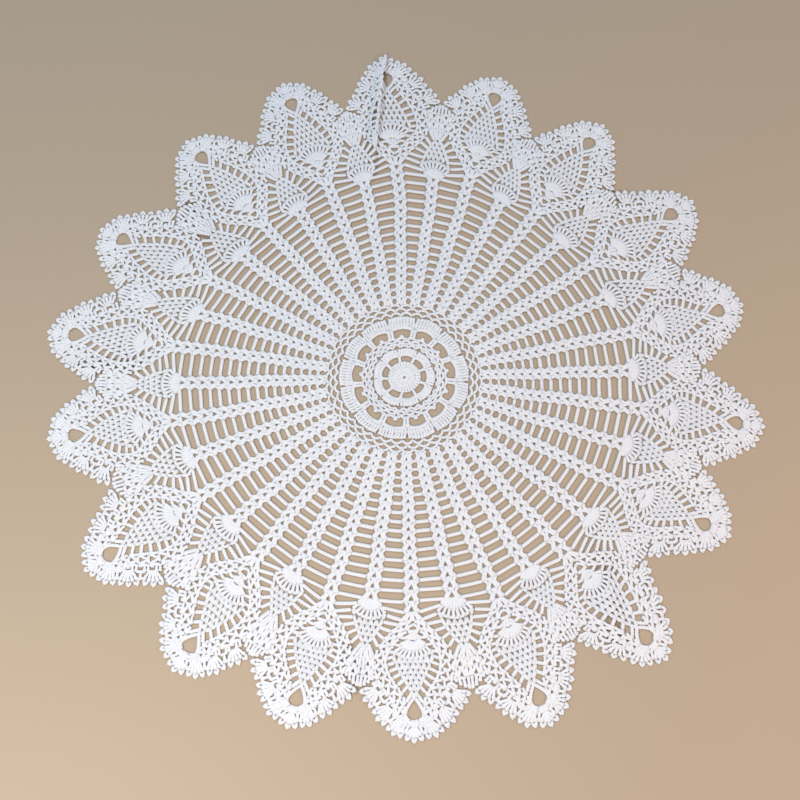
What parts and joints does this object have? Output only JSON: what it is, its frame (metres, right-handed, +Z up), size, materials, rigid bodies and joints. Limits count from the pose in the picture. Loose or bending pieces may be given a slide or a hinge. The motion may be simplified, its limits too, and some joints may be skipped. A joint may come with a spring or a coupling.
{
  "type": "crochet tablecloth",
  "caption": "Round one-piece white cotton crochet tablecloth with a solid middle, open ladders between ribs and a scalloped rim, lying flat.",
  "frame": {"origin": "under the middle of the centre motif, on the face that lies on the table", "axes": "+Z up from the table, -Y towards the viewer of the picture"},
  "size_m": [0.6038, 0.6045, 0.0084],
  "materials": {
    "cotton": "matte mercerised cotton thread"
  },
  "bodies": {
    "root": {"crochet_tablecloth": "cotton"}
  },
  "joints": []
}
